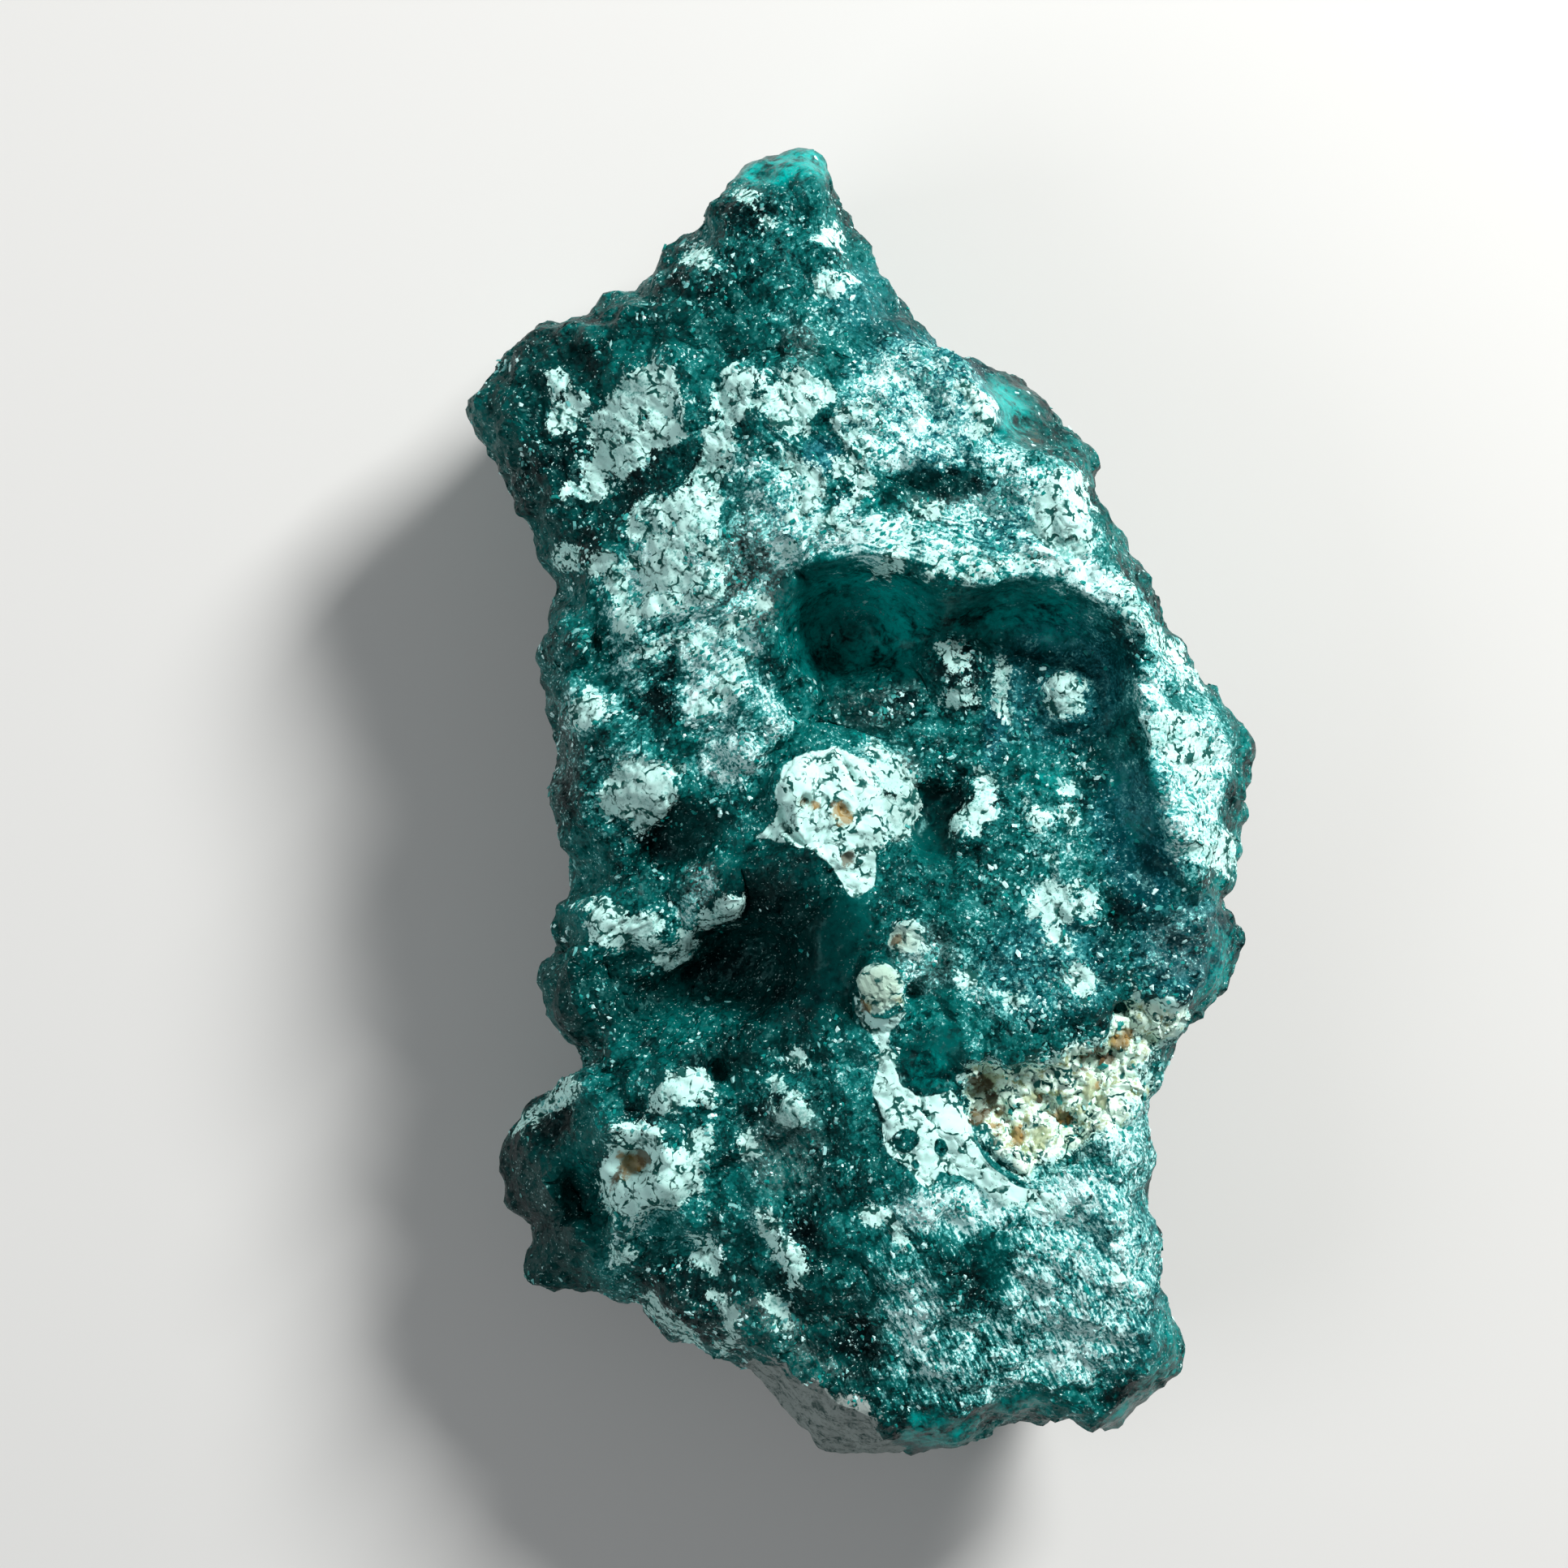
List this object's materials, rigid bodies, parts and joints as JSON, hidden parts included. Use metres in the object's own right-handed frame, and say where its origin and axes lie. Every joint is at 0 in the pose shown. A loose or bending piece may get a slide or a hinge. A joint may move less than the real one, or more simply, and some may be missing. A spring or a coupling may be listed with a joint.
{
  "type": "dioptase crystal specimen",
  "caption": "Broken lump of dark teal-green dioptase with pale crusts, a sparkling druse bowl, a small vug and a glassy rim.",
  "frame": {"origin": "under the middle of the lump, on the surface it rests on", "axes": "+X to the right of the good face, +Y to its pointed top, +Z out of the good face, which looks up"},
  "size_m": [0.0508, 0.0848, 0.0258],
  "materials": {
    "dioptase": "glassy green mineral with pale, rough crusts"
  },
  "bodies": {
    "root": {"dioptase_specimen": "dioptase"}
  },
  "joints": []
}
